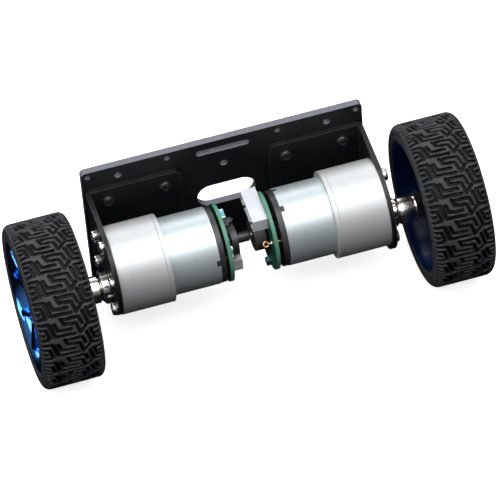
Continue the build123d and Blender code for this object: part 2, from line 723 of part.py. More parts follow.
def wheel_rim():
    """Barrel with two lips, a hub with a hexagonal socket and evenly spaced spokes."""
    start, end = TYRE_INNER_FACE + 0.4, TYRE_OUTER_FACE - 0.4
    barrel = Pos((start + end) / 2, RIM_RADIUS - RIM_WALL / 2) * Rectangle(end - start, RIM_WALL)
    lip_root = RIM_RADIUS - RIM_WALL
    for x in (start + 0.5, end - 0.5):
        barrel += Pos(x, (RIM_LIP + lip_root) / 2) * Rectangle(1.0, RIM_LIP - lip_root)
    rim = turned(barrel, OUTPUT)
    hub = disc(RIM_HUB_RADIUS, RIM_HUB_START, SPOKE_PLANE[1], OUTPUT)
    hub = fillet(hub.edges().sort_by(Axis.X)[-1], 1.0)
    first, last = SPOKE_PLANE
    outer = RIM_RADIUS - RIM_WALL / 2
    middle = Pos((SPOKE_ROOT + outer) / 2, 0, 0)
    seated = (Align.CENTER, Align.CENTER, Align.MIN)
    spoke = middle * Box(outer - SPOKE_ROOT, SPOKE_WIDTH, last - first, align=seated)
    for step in range(SPOKES):
        rim += across(first, OUTPUT) * Rot(0, 0, 360 * (step + 0.5) / SPOKES) * spoke
    rim += hub
    rim -= hexagon_bar(HUB_ACROSS_FLATS / 2 + FITTED_GAP, RIM_HUB_START, HUB_END)
    rim -= disc(OUTPUT_SHAFT + FITTED_GAP, RIM_HUB_START, SHAFT_END, OUTPUT)
    rim -= disc(SCREW_RADIUS + SCREW_GAP, SHAFT_END, SPOKE_PLANE[1], OUTPUT)
    return rim - disc(5.0, SPOKE_PLANE[1] - RIM_RECESS, SPOKE_PLANE[1], OUTPUT)


def wheel_screw():
    """Screw into the shaft's end that holds the wheel on its coupling."""
    seat = SPOKE_PLANE[1] - RIM_RECESS
    length = seat - SHAFT_END
    hanging = (Align.CENTER, Align.CENTER, Align.MAX)
    head = fillet(extrude(Circle(3.0), 2.4).edges().sort_by(Axis.Z)[-1], 0.5)
    head -= Pos(0, 0, 1.0) * extrude(RegularPolygon(1.25, 6, major_radius=False), 2)
    shank = Cylinder(SCREW_RADIUS, length, align=hanging)
    thread = Cylinder(SHAFT_THREAD - FITTED_GAP, length + 4.5, align=hanging)
    return across(seat, OUTPUT) * (head + shank + thread)


# ---------------------------------------------------------------- assembly
def build_side(side, facts):
    """Every piece of one side, built on the right and mirrored for the left."""
    face, corner, tabs = facts["board"], facts["header"], facts["tabs"]
    terminals = facts["terminals"]
    pieces = {
        "motor_bracket": motor_bracket(facts["end_shift"]),
        "gearbox_base": gearbox_base(),
        "gearbox_case": gearbox_case(),
        "gearbox_cover": gearbox_cover(),
        "output_bushing": output_bushing(),
        "output_gear": output_gear(),
        "second_idler": idler(SECOND_IDLER, FIRST_IDLER, OUTPUT, STAGE_B, STAGE_C),
        "first_idler": idler(FIRST_IDLER, MOTOR, SECOND_IDLER, STAGE_A, STAGE_B),
        "motor_pinion": motor_pinion(),
        "motor_shaft": motor_shaft(facts["shaft_end"]),
        "motor_can": motor_can(tabs),
        "field_magnets": field_magnets(),
        "armature_core": armature_core(),
        "armature_windings": armature_windings(),
        "commutator": commutator(),
        "end_cap": end_cap(tabs, terminals),
        "encoder_magnet": encoder_magnet(facts["magnet"], facts["magnet_hub"]),
        "encoder_board": encoder_board(face, terminals),
        "board_header": board_header(face, corner),
        "board_parts": board_parts(face, corner, facts["small_parts"]),
        "output_shaft": output_shaft(),
        "wheel_hub": wheel_hub(),
        "hub_set_screw": hub_set_screw(),
        "wheel_rim": wheel_rim(),
        "tyre": tyre(),
        "tyre_insert": tyre_insert(),
        "wheel_screw": wheel_screw(),
    }
    for name, shape in pieces.items():
        shapes = shape if isinstance(shape, list) else [shape]
        export(f"{side}_{name}", [for_side(side, one) for one in shapes])


def build_shared():
    """The plate, and the small pieces that repeat on both sides."""
    export("chassis_plate", chassis_plate())
    places = flange_screw_places()
    export("bracket_screws", [flange_screw(x, z) for x, z in places])
    export("bracket_nuts", [flange_nut(x, z) for x, z in places])
    face_screws = [motor_screw(point) for point in around(FACE_SCREWS, FACE_SCREW_RING, 90)]
    pins = [idler_pin(centre) for centre in (FIRST_IDLER, SECOND_IDLER)]
    for name, shapes in (("motor_screws", face_screws), ("idler_pins", pins)):
        export(name, [for_side(side, shape) for side in SIDES for shape in shapes])
    brushes = []
    for side, facts in SIDES.items():
        for angle in (facts["terminals"], facts["terminals"] + 180):
            brushes.append(for_side(side, brush(angle, facts["board"], facts["header"])))
    export("motor_brushes", brushes)


build_shared()
for side_name, side_facts in SIDES.items():
    build_side(side_name, side_facts)

os.makedirs("parts", exist_ok=True)
for node, model in parts.items():
    export_step(model, f"parts/{node}.step")
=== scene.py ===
"""Looks of the two-wheel self balancing robot base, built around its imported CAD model."""

import json
import math

import bmesh
import bpy
import numpy as np
from mathutils import Matrix, Vector


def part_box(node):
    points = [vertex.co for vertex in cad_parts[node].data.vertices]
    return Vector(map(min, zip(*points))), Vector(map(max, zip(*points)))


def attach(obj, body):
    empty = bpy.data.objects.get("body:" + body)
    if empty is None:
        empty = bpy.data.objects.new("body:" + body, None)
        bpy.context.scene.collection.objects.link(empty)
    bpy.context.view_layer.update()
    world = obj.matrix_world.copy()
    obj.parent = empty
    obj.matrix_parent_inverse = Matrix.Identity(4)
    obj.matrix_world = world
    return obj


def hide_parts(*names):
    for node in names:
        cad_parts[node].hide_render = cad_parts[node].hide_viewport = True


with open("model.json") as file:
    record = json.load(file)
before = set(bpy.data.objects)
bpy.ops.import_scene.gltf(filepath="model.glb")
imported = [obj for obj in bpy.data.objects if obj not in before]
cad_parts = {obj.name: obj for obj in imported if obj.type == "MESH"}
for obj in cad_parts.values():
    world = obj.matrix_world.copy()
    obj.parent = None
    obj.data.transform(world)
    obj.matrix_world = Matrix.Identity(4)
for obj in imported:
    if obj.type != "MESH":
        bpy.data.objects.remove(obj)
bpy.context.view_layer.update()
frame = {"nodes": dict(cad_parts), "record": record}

MM = 0.001
SIDES = {"left": -1, "right": 1}

# ---------------------------------------------------------------- camera and stage
# Angles are in radians, the distance in metres, and the lens and sensor in millimetres.
CAMERA_TURN = 0.222
CAMERA_DIP = 0.855
CAMERA_ROLL = -0.086
CAMERA_DISTANCE = 2.093004
CAMERA_TARGET = Vector((18.382, 77.223, -58.669)) * MM
CAMERA_LENS = 345.6
CAMERA_SENSOR = 36.0
CAMERA_CLIP = (0.1, 50.0)
FLOOR_HALF = 4.0
FLOOR_GLOW = 0.72

# ---------------------------------------------------------------- tyre and rim, in millimetres
TREAD_REPEATS = 24
TREAD_DEPTH = 1.3
TREAD_STEPS = 26  # rows of mesh in one repeat
TREAD_PHASE = {"left": 13.2, "right": 2.0}  # degrees below the front of the wheel
GROOVE_HALF = 0.64  # half a groove's width, halfway down its walls
GROOVE_SLOPE = 0.28  # width of a groove's wall
TREAD_EDGE = 12.9  # where the pattern fades on the shoulder, along the surface
TREAD_FADE = 0.4
OFF_TREAD = 99.0  # a distance along the surface that is past the pattern
TREAD_COLUMNS = 64  # points across the flat of the tread
SHOULDER = 3.0
SHOULDER_POINTS = 15
SHOULDER_SHIFT = 2.8  # shoulder blocks above the S on the right, below it on the left
BEAD_RADIUS = 27.7
BEAD_SEAT = 26.45
BEAD_WIDTH = 1.5
TYRE_WALL = 2.4
SIDEWALL = (  # radius, and depth below the sidewall: a shallow moulded groove, then the bead's edge
    (31.2, 0.0), (30.9, 0.25), (30.5, 0.25), (30.2, 0.0), (29.2, 0.0), (28.3, 0.05),
    (BEAD_RADIUS + 0.1, 0.35),
)
RIM_LIP = 27.5
RIM_BARREL = 26.35
RIM_BORE = 24.9
LIP_PROFILE = (  # distance in from the rim's face, and radius
    (1.3, RIM_BARREL), (1.0, RIM_LIP - 0.35), (0.75, RIM_LIP), (0.25, RIM_LIP), (0.0, RIM_LIP - 0.3),
    (0.0, 26.9), (0.35, 26.45), (1.6, 25.8), (3.2, RIM_BORE),
)
INNER_RIM_END = 2.0  # the rim is painted dark as painted shade up to here, measured outward from its middle
HUB_FACES = (-6.1, 9.8)
HUB_RADIUS = 9.45
HUB_SOCKET = (-3.1, 7.0)  # end and radius of the coupling's socket
SHAFT_BORE = (1.3, 3.1)  # end and radius
SCREW_BORE = 1.65
SCREW_RECESS = (7.4, 5.0)  # floor and radius
BARREL_SEGMENTS = 192
HUB_SEGMENTS = 96
BAR_CORNERS = 12
BAR_ROUNDNESS = 0.6  # 1 is an ellipse, and less is squarer
SPOKE_FORKS = 5
# Each station of a spoke: radius, degrees from the fork's middle, half width, outer face, inner face.
SPOKE_STEM = ((8.2, 0, 3.6, 9.6, 3.2), (11.0, 0, 3.3, 9.7, 3.4), (13.6, 0, 3.5, 9.6, 3.6))
SPOKE_ARM = (
    (12.0, 6, 1.9, 9.7, 4.6), (15.5, 10, 1.5, 10.1, 5.2), (19.5, 14, 1.3, 10.7, 6.0),
    (23.0, 17, 1.4, 11.3, 6.6), (25.5, 18, 1.9, 11.6, 6.8),
)


def camera():
    """The camera at the photograph's viewing angle."""
    turn, dip, roll = CAMERA_TURN, CAMERA_DIP, CAMERA_ROLL
    look = Vector((math.sin(turn) * math.cos(dip), math.cos(turn) * math.cos(dip), -math.sin(dip)))
    level = Vector((math.cos(turn), -math.sin(turn), 0))
    rise = level.cross(look)
    right = math.cos(roll) * level + math.sin(roll) * rise
    up = -math.sin(roll) * level + math.cos(roll) * rise
    data = bpy.data.cameras.new("camera")
    data.lens, data.sensor_width = CAMERA_LENS, CAMERA_SENSOR
    data.clip_start, data.clip_end = CAMERA_CLIP
    view = bpy.data.objects.new("camera", data)
    bpy.context.scene.collection.objects.link(view)
    place = Matrix((right, up, -look)).transposed().to_4x4()
    place.translation = CAMERA_TARGET - look * CAMERA_DISTANCE
    view.matrix_world = place
    bpy.context.scene.camera = view


# ---------------------------------------------------------------- shaders
SOFT_CORNER = 0.12  # millimetres
WORN_CORNER = 0.35
BEVEL_SAMPLES = 4


class Surface:
    """A Principled material whose colour, roughness and bump come from procedural nodes."""

    def __init__(self, name, roughness=0.5, metallic=0.0, **sockets):
        self.material = bpy.data.materials.new(name)
        self.material.use_nodes = True
        self.tree = self.material.node_tree
        self.shader = self.tree.nodes["Principled BSDF"]
        self.shader.inputs["Roughness"].default_value = roughness
        self.shader.inputs["Metallic"].default_value = metallic
        for socket, value in sockets.items():
            self.shader.inputs[socket.replace("_", " ")].default_value = value

    def node(self, kind, **settings):
        node = self.tree.nodes.new(f"ShaderNode{kind}")
        for key, value in settings.items():
            setattr(node, key, value)
        return node

    def link(self, source, target):
        self.tree.links.new(source, target)

    def noise(self, scale, stretch=(1, 1, 1), detail=4.0, shift=0.0):
        """Noise in the row frame, with scale in repeats per metre."""
        place = self.node("Mapping")
        place.inputs["Scale"].default_value = [scale * s for s in stretch]
        place.inputs["Location"].default_value = (shift, shift * 2, shift * 3)
        self.link(self.node("TexCoord").outputs["Object"], place.inputs["Vector"])
        noise = self.node("TexNoise")
        noise.inputs["Scale"].default_value = 1.0
        noise.inputs["Detail"].default_value = detail
        self.link(place.outputs["Vector"], noise.inputs["Vector"])
        return noise.outputs["Fac"]

    def span(self, value, low, high, out_low=0.0, out_high=1.0):
        """Map a value from one span to another, clamped."""
        node = self.node("MapRange")
        numbers = {"From Min": low, "From Max": high, "To Min": out_low, "To Max": out_high}
        for socket, number in numbers.items():
            node.inputs[socket].default_value = number
        self.link(value, node.inputs["Value"])
        return node.outputs["Result"]

    def mix(self, factor, first, second):
        """Mix two colours, each a triple or a socket."""
        node = self.node("Mix", data_type="RGBA")
        self.link(factor, node.inputs["Factor"])
        for socket, colour in (("A", first), ("B", second)):
            target = [i for i in node.inputs if i.name == socket and i.type == "RGBA"][0]
            if isinstance(colour, bpy.types.NodeSocket):
                self.link(colour, target)
            else:
                target.default_value = (*colour, 1.0)
        return [o for o in node.outputs if o.type == "RGBA"][0]

    def rounded_normal(self, radius):
        """The surface's normal with corners rounded to a radius in millimetres."""
        bevel = self.node("Bevel", samples=BEVEL_SAMPLES)
        bevel.inputs["Radius"].default_value = radius * MM
        return bevel.outputs["Normal"]

    def worn_edges(self):
        """A mask that is bright along the corners of the part."""
        dot = self.node("VectorMath", operation="DOT_PRODUCT")
        self.link(self.rounded_normal(WORN_CORNER), dot.inputs[0])
        self.link(self.node("NewGeometry").outputs["Normal"], dot.inputs[1])
        return self.span(dot.outputs["Value"], 0.995, 0.86)

    def colour(self, value):
        self.link(value, self.shader.inputs["Base Color"])

    def roughness(self, value):
        self.link(value, self.shader.inputs["Roughness"])

    def bump(self, height, depth):
        """Relief of a depth in millimetres, on softened corners."""
        node = self.node("Bump")
        node.inputs["Distance"].default_value = depth * MM
        node.inputs["Strength"].default_value = 1.0
        self.link(height, node.inputs["Height"])
        self.link(self.rounded_normal(SOFT_CORNER), node.inputs["Normal"])
        self.link(node.outputs["Normal"], self.shader.inputs["Normal"])

    def facing(self, axis):
        """How squarely the surface faces along an axis of the row frame, from 0 to 1."""
        parts = self.node("SeparateXYZ")
        self.link(self.node("NewGeometry").outputs["Normal"], parts.inputs["Vector"])
        size = self.node("Math", operation="ABSOLUTE")
        self.link(parts.outputs[axis], size.inputs[0])
        return size.outputs["Value"]


def coated(name, dark, light, roughness, grain, depth, edge=None, **sockets):
    """Paint or moulded plastic: fine grain, slow mottling, and paler corners if edge is given."""
    surface = Surface(name, roughness, **sockets)
    mottle = surface.span(surface.noise(70, shift=3.1), 0.35, 0.68)
    colour = surface.mix(mottle, dark, light)
    if edge:
        worn = surface.node("Math", operation="MULTIPLY")
        surface.link(surface.worn_edges(), worn.inputs[0])
        surface.link(surface.span(surface.noise(400, shift=7.7), 0.3, 0.6, 0.45, 1.0), worn.inputs[1])
        colour = surface.mix(worn.outputs["Value"], colour, edge)
    surface.colour(colour)
    patches = surface.noise(260, shift=1.3)
    surface.roughness(surface.span(patches, 0.3, 0.7, roughness - 0.07, roughness + 0.09))
    surface.bump(surface.noise(grain, detail=2.0), depth)
    return surface.material


def metal(name, dark, light, roughness, spread, stretch=(1, 1, 1), scale=900, depth=0.004, metallic=1.0):
    """Bare or plated metal with fine marks, drawn out along each axis whose stretch is below 1."""
    surface = Surface(name, roughness, metallic)
    marks = surface.noise(scale, stretch, 5.0, 0.4)
    cloud = surface.span(surface.noise(60, shift=5.5), 0.3, 0.7)
    streaks = surface.mix(surface.span(marks, 0.35, 0.65), dark, light)
    surface.colour(surface.mix(surface.span(cloud, 0.0, 1.0, 0.0, 0.35), streaks, dark))
    surface.roughness(surface.span(marks, 0.3, 0.7, roughness - spread, roughness + spread))
    surface.bump(marks, depth)
    return surface.material


def circuit_board():
    """Green solder mask with paler copper tracks, and the pale green edge of the laminate."""
    surface = Surface("circuit_board_look", 0.4, Coat_Weight=0.06, Specular_IOR_Level=0.25)
    tracks = surface.node("TexBrick")
    place = surface.node("Mapping")
    place.inputs["Rotation"].default_value = (0, math.radians(90), 0)
    surface.link(surface.node("TexCoord").outputs["Object"], place.inputs["Vector"])
    surface.link(place.outputs["Vector"], tracks.inputs["Vector"])
    tracks.inputs["Scale"].default_value = 330.0
    tracks.inputs["Mortar Size"].default_value = 0.05
    mottle = surface.span(surface.noise(180), 0.35, 0.65)
    mask = surface.mix(mottle, (0.003, 0.035, 0.022), (0.006, 0.06, 0.036))
    face = surface.mix(tracks.outputs["Fac"], mask, (0.012, 0.10, 0.06))
    laminate = surface.mix(surface.noise(1500), (0.045, 0.165, 0.11), (0.11, 0.26, 0.19))
    surface.colour(surface.mix(surface.span(surface.facing("X"), 0.4, 0.8), laminate, face))
    surface.roughness(surface.span(surface.noise(500), 0.3, 0.7, 0.24, 0.4))
    surface.bump(tracks.outputs["Fac"], 0.02)
    return surface.material


def tyre_rubber():
    """Dark rubber with grey rib tops, grooves painted near black as painted shade, and a fine moulded grain.
    """
    surface = Surface("tyre_rubber_look", 0.6, Specular_IOR_Level=0.22)
    depth = surface.node("Attribute", attribute_name="groove")
    mottle = surface.span(surface.noise(160, shift=2.0), 0.3, 0.7)
    rib = surface.mix(mottle, (0.026, 0.028, 0.031), (0.042, 0.044, 0.049))
    # The grooves' near-black colour is painted shade in the recesses, added to the shadow that their depth
    # casts.
    surface.colour(surface.mix(surface.span(depth.outputs["Fac"], 0.05, 0.5), rib, (0.0008, 0.0008, 0.0010)))
    surface.roughness(surface.span(surface.noise(700, shift=4.0), 0.3, 0.7, 0.48, 0.68))
    surface.bump(surface.noise(4200, detail=3.0), 0.03)
    return surface.material


def blue_plating():
    """Blue metallic plating with a clear coat and faint polishing marks."""
    surface = Surface("blue_rim_look", 0.12, 1.0, Coat_Weight=0.25, Coat_Roughness=0.03)
    surface.shader.inputs["Specular Tint"].default_value = (0.25, 0.55, 1.0, 1.0)
    cloud = surface.span(surface.noise(90, shift=1.0), 0.3, 0.7)
    surface.colour(surface.mix(cloud, (0.045, 0.22, 0.66), (0.10, 0.34, 0.82)))
    surface.roughness(surface.span(surface.noise(1400, shift=2.0), 0.3, 0.7, 0.08, 0.18))
    surface.bump(surface.noise(240, detail=1.0), 0.02)
    return surface.material


def plate_paint():
    """Black powder coat on the faces of the plate and pale bare metal on its cut edges."""
    surface = Surface("plate_paint_look", 0.5, Specular_IOR_Level=0.32)
    mottle = surface.span(surface.noise(70, shift=3.1), 0.35, 0.68)
    paint = surface.mix(mottle, (0.0040, 0.0046, 0.0058), (0.0066, 0.0076, 0.0095))
    cut = surface.mix(surface.noise(900, (1, 0.1, 1)), (0.085, 0.09, 0.11), (0.15, 0.16, 0.19))
    surface.colour(surface.mix(surface.span(surface.facing("Y"), 0.5, 0.7), cut, paint))
    surface.roughness(surface.span(surface.noise(260, shift=1.3), 0.3, 0.7, 0.42, 0.56))
    surface.bump(surface.noise(3200, detail=2.0), 0.01)
    return surface.material


RUB = (1, 0.02, 0.02)  # marks that run round the axle
# Dark navy for the rim's inner half: painted shade where the wheel faces the robot's dark middle.
INNER_RIM_PAINTED_SHADE = coated(
    "inner_rim_painted_shade_look", (0.0008, 0.004, 0.02), (0.002, 0.011, 0.065), 0.34, 900, 0.01, Specular_IOR_Level=0.18,
)
LOOKS = {
    "black_paint": coated(
        "black_paint_look", (0.0028, 0.003, 0.0036), (0.005, 0.0054, 0.0064), 0.45, 3200, 0.01,
        (0.07, 0.08, 0.10), Specular_IOR_Level=0.35,
    ),
    "black_screw": coated(
        "black_screw_look", (0.004, 0.004, 0.005), (0.010, 0.010, 0.012),
        0.36, 5000, 0.006, (0.06, 0.065, 0.075),
    ),
    "zinc_nut": metal("zinc_nut_look", (0.45, 0.45, 0.43), (0.68, 0.67, 0.63), 0.3, 0.08),
    "bright_screw": metal(
        "bright_screw_look", (0.76, 0.74, 0.70), (0.88, 0.87, 0.84), 0.15, 0.03, depth=0.0008,
    ),
    "hard_steel": metal("hard_steel_look", (0.42, 0.42, 0.43), (0.62, 0.62, 0.64), 0.26, 0.08, RUB, 4000),
    "brush_brass": metal("brush_brass_look", (0.5, 0.3, 0.12), (0.75, 0.5, 0.22), 0.3, 0.1),
    "gearbox_metal": metal(
        "gearbox_metal_look", (0.50, 0.52, 0.53), (0.56, 0.58, 0.59),
        0.5, 0.025, RUB, 3600, 0.001, metallic=0.55,
    ),
    "bronze": metal("bronze_look", (0.28, 0.17, 0.08), (0.42, 0.27, 0.13), 0.42, 0.1),
    "gear_steel": metal("gear_steel_look", (0.3, 0.3, 0.31), (0.46, 0.46, 0.48), 0.34, 0.1),
    "pinion_brass": metal("pinion_brass_look", (0.55, 0.38, 0.14), (0.8, 0.6, 0.28), 0.28, 0.08),
    "can_steel": metal(
        "can_steel_look", (0.50, 0.565, 0.59), (0.56, 0.625, 0.65),
        0.44, 0.025, RUB, 4200, 0.001, metallic=0.65,
    ),
    "ferrite": coated("ferrite_look", (0.02, 0.02, 0.02), (0.04, 0.04, 0.04), 0.7, 3000, 0.02),
    "core_steel": metal("core_steel_look", (0.2, 0.2, 0.21), (0.42, 0.42, 0.43), 0.4, 0.1, RUB, 3000, 0.02),
    "copper_wire": metal(
        "copper_wire_look", (0.42, 0.13, 0.04), (0.78, 0.32, 0.14), 0.3, 0.08, (1, 0.1, 0.1), 2600, 0.05,
    ),
    "cap_plastic": coated(
        "cap_plastic_look", (0.016, 0.016, 0.020), (0.030, 0.030, 0.036), 0.42, 2600, 0.015,
    ),
    "magnet_plastic": coated(
        "magnet_plastic_look", (0.018, 0.018, 0.022), (0.045, 0.045, 0.052), 0.36, 2600, 0.012,
    ),
    "circuit_board": circuit_board(),
    "header_plastic": coated(
        "header_plastic_look", (0.50, 0.53, 0.58), (0.62, 0.65, 0.70), 0.4, 1800, 0.012,
    ),
    "component_body": coated(
        "component_body_look", (0.03, 0.03, 0.035), (0.06, 0.06, 0.07), 0.4, 2500, 0.01,
    ),
    "bright_hub": metal(
        "bright_hub_look", (0.72, 0.70, 0.67), (0.84, 0.82, 0.79), 0.17, 0.03, RUB, 1500, 0.0006,
    ),
    "blue_rim": blue_plating(),
    "tyre_rubber": tyre_rubber(),
    "foam": coated("foam_look", (0.05, 0.05, 0.05), (0.12, 0.12, 0.12), 0.9, 900, 0.2),
}
PLATE_PAINT = plate_paint()
SOLDER = metal("solder_look", (0.62, 0.63, 0.63), (0.86, 0.87, 0.87), 0.2, 0.08)
COPPER_RING = metal("copper_ring_look", (0.55, 0.24, 0.12), (0.82, 0.42, 0.24), 0.28, 0.08)
TEAL_CHIP = coated(
    "teal_chip_look", (0.05, 0.34, 0.42), (0.12, 0.5, 0.58), 0.24, 2500, 0.008, Coat_Weight=0.5,
)
PIN_GOLD = metal("pin_gold_look", (0.62, 0.42, 0.14), (0.9, 0.68, 0.3), 0.2, 0.06)


# ---------------------------------------------------------------- mesh helpers
def piece(name, vertices, faces, materials, body, sharp=35.0):
    """A new object from mesh data in the row frame, in metres, riding on a body."""
    mesh = bpy.data.meshes.new(name)
    mesh.from_pydata([tuple(v) for v in vertices], [], [tuple(f) for f in faces])
    for material in materials:
        mesh.materials.append(material)
    build = bmesh.new()
    build.from_mesh(mesh)
    bmesh.ops.recalc_face_normals(build, faces=build.faces)
    build.to_mesh(mesh)
    build.free()
    mesh.polygons.foreach_set("use_smooth", [True] * len(mesh.polygons))
    mesh.set_sharp_from_angle(angle=math.radians(sharp))
    made = bpy.data.objects.new(name, mesh)
    bpy.context.scene.collection.objects.link(made)
    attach(made, body)
    return made


def closed_grid(rows, columns):
    """Quads of a surface that closes on itself both ways, rows by columns of vertices."""
    i, j = np.meshgrid(np.arange(rows), np.arange(columns), indexing="ij")
    i_next, j_next = (i + 1) % rows, (j + 1) % columns
    corners = (i * columns + j, i_next * columns + j, i_next * columns + j_next, i * columns + j_next)
    return np.stack(corners, -1).reshape(-1, 4).tolist()


class Wheel:
    """Where one wheel stands, read from its CAD tyre."""

    def __init__(self, side):
        low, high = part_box(f"{side}_tyre")
        self.side, self.sign = side, SIDES[side]
        self.middle = (low.x + high.x) / 2 / MM
        self.half = (high.x - low.x) / 2 / MM
        self.radius = (high.z - low.z) / 2 / MM
        self.y, self.z = (low.y + high.y) / 2 / MM, (low.z + high.z) / 2 / MM

    def revolve(self, profile, count, start=0.0):
        """Vertices of a closed outline of (outward distance, radius) swept round the axle."""
        profile = np.asarray(profile, float)
        angle = np.radians(start) + 2 * np.pi * np.arange(count) / count
        x = np.repeat(self.middle + self.sign * profile[:, 0], count).reshape(len(profile), count)
        y = self.y - profile[:, 1:2] * np.cos(angle)
        z = self.z - profile[:, 1:2] * np.sin(angle)
        return np.stack((x, y, z), -1).reshape(-1, 3) * MM

    def point(self, outward, radius, degrees):
        """One point in metres from its distance outward, its radius and its angle."""
        angle = math.radians(degrees)
        return Vector(
            (
                self.middle + self.sign * outward,
                self.y - radius * math.cos(angle),
                self.z - radius * math.sin(angle),
            )
        ) * MM


# ---------------------------------------------------------------- tyre
def tread_grooves():
    """Groove lines of one repeat, as polylines of (across, down) with the S at the origin."""
    hook = [(-1.0, -2.35), (4.7, -2.05), (5.6, 1.05)]
    middle = [(-2.65, -2.65), (-1.75, -0.2), (3.15, 0.4), (4.3, 4.85), (6.85, 2.25)]
    lower = [(-7.3, -1.0), (-6.1, 4.4), (2.2, 4.65)]
    lines = [hook, [(-u, -w) for u, w in hook], middle, lower]
    divider = [(6.65, -1.3), (8.05, 4.5), (12.9, 4.6)]
    nested = [(12.9, -2.2), (8.4, -2.0), (9.5, 2.4), (12.9, 2.6)]
    core = [(10.6, 0.1), (12.9, 0.3)]
    for line in (divider, nested, core):
        for sign in (-1, 1):
            lines.append([(sign * u, sign * (w - SHOULDER_SHIFT)) for u, w in line])
    return lines


def groove_depth(across, down, pitch):
    """How deep the pattern is at each point, from 0 on a rib to 1 in a groove."""
    nearest = np.full(across.shape, np.inf)
    for line in tread_grooves():
        for shift in (-2, -1, 0, 1, 2):
            points = [(u, w + shift * pitch) for u, w in line]
            for (u0, w0), (u1, w1) in zip(points, points[1:]):
                run, fall = u1 - u0, w1 - w0
                share = ((across - u0) * run + (down - w0) * fall) / (run ** 2 + fall ** 2)
                share = np.clip(share, 0, 1)
                gap = np.hypot(across - u0 - share * run, down - w0 - share * fall)
                nearest = np.minimum(nearest, gap)
    depth = np.clip((GROOVE_HALF + GROOVE_SLOPE / 2 - nearest) / GROOVE_SLOPE, 0, 1)
    depth = depth * depth * (3 - 2 * depth)
    fade = np.clip((TREAD_EDGE - np.abs(across)) / TREAD_FADE, 0, 1)
    return depth * fade


def tyre_outline(wheel):
    """Closed outline of the tyre, with outward normals and the distance along the surface."""
    half, radius = wheel.half, wheel.radius
    flat = half - SHOULDER
    sides = []
    for sign in (-1, 1):
        side = []
        for angle in np.radians(np.linspace(90, 0, SHOULDER_POINTS)):
            out, up = math.cos(angle), math.sin(angle)
            along = flat + SHOULDER * (np.pi / 2 - angle)
            height = radius - SHOULDER + SHOULDER * up
            side.append((sign * (flat + SHOULDER * out), height, sign * out, up, sign * along))
        for height, depth in SIDEWALL:
            side.append((sign * (half - depth), height, sign, 0.0, sign * OFF_TREAD))
        side.append((sign * (half - BEAD_WIDTH), BEAD_RADIUS - 0.1, sign, 0.0, sign * OFF_TREAD))
        inside = ((BEAD_WIDTH, BEAD_SEAT), (TYRE_WALL, BEAD_SEAT), (TYRE_WALL, radius - TYRE_WALL))
        for depth, height in inside:
            side.append((sign * (half - depth), height, 0.0, -1.0, sign * OFF_TREAD))
        sides.append(side)
    top = [(a, radius, 0.0, 1.0, a) for a in np.linspace(-flat, flat, TREAD_COLUMNS)[1:-1]]
    return np.array(sides[0][::-1] + top + sides[1])


def tyre(wheel):
    """Tyre with its tread cut into the mesh."""
    outline = tyre_outline(wheel)
    count = TREAD_REPEATS * TREAD_STEPS
    pitch = 2 * math.pi * wheel.radius / TREAD_REPEATS
    down = pitch * np.arange(TREAD_STEPS) / TREAD_STEPS
    # The pattern has the same hand on both wheels, so across is measured along +X on each.
    across, down = np.meshgrid(wheel.sign * outline[:, 4], down, indexing="ij")
    depth = np.tile(groove_depth(across, down, pitch), (1, TREAD_REPEATS))
    base = wheel.revolve(outline[:, :2], count, TREAD_PHASE[wheel.side]).reshape(len(outline), count, 3)
    sunk = outline[:, :2] - TREAD_DEPTH * outline[:, 2:4]
    deep = wheel.revolve(sunk, count, TREAD_PHASE[wheel.side]).reshape(len(outline), count, 3)
    vertices = (base + (deep - base) * depth[..., None]).reshape(-1, 3)
    made = piece(
        f"{wheel.side}_tyre_tread", vertices, closed_grid(len(outline), count),
        [LOOKS["tyre_rubber"]], f"{wheel.side}_wheel", 60.0,
    )
    groove = made.data.attributes.new("groove", "FLOAT", "POINT")
    groove.data.foreach_set("value", depth.astype(np.float32).ravel())
    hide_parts(f"{wheel.side}_tyre")


# ---------------------------------------------------------------- rim
def squared(value):
    """A sine or cosine pushed outward, so that an ellipse becomes a rounded rectangle."""
    return math.copysign(abs(value) ** BAR_ROUNDNESS, value)


def loft(stations):
    """A closed bar through (centre, half width vector, half depth vector) stations."""
    corners = BAR_CORNERS
    vertices, faces = [], []
    for centre, wide, deep in stations:
        for step in range(corners):
            angle = 2 * math.pi * (step + 0.5) / corners
            vertices.append(centre + wide * squared(math.cos(angle)) + deep * squared(math.sin(angle)))
    for station in range(len(stations) - 1):
        for step in range(corners):
            after = (step + 1) % corners
            low, high = station * corners, (station + 1) * corners
            faces.append((low + step, low + after, high + after, high + step))
    last = (len(stations) - 1) * corners
    faces.append(tuple(range(corners)))
    faces.append(tuple(last + step for step in reversed(range(corners))))
    return vertices, faces


def spoke(wheel, middle, sign, path):
    """A closed bar through a spoke's stations, on the side sign of the fork at middle degrees."""
    stations = []
    for radius, offset, half_width, outer, inner in path:
        degrees = middle + sign * offset
        angle = math.radians(degrees)
        wide = Vector((0, math.sin(angle), -math.cos(angle))) * half_width * MM
        deep = Vector((wheel.sign * (outer - inner) / 2 * MM, 0, 0))
        stations.append((wheel.point((outer + inner) / 2, radius, degrees), wide, deep))
    return loft(stations)


def ring(wheel, outline, count):
    """Vertices and faces of a closed outline of (outward distance, radius) swept round the axle."""
    return list(map(Vector, wheel.revolve(outline, count))), closed_grid(len(outline), count)


def barrel_outline(reach):
    """The rim's barrel with a rounded lip at each end, reach from its middle to a face."""
    outer = [(reach - depth, radius) for depth, radius in LIP_PROFILE]
    inner = [(-outward, radius) for outward, radius in reversed(outer)]
    return outer + [(INNER_RIM_END, RIM_BORE)] + inner + [(INNER_RIM_END, RIM_BARREL)]


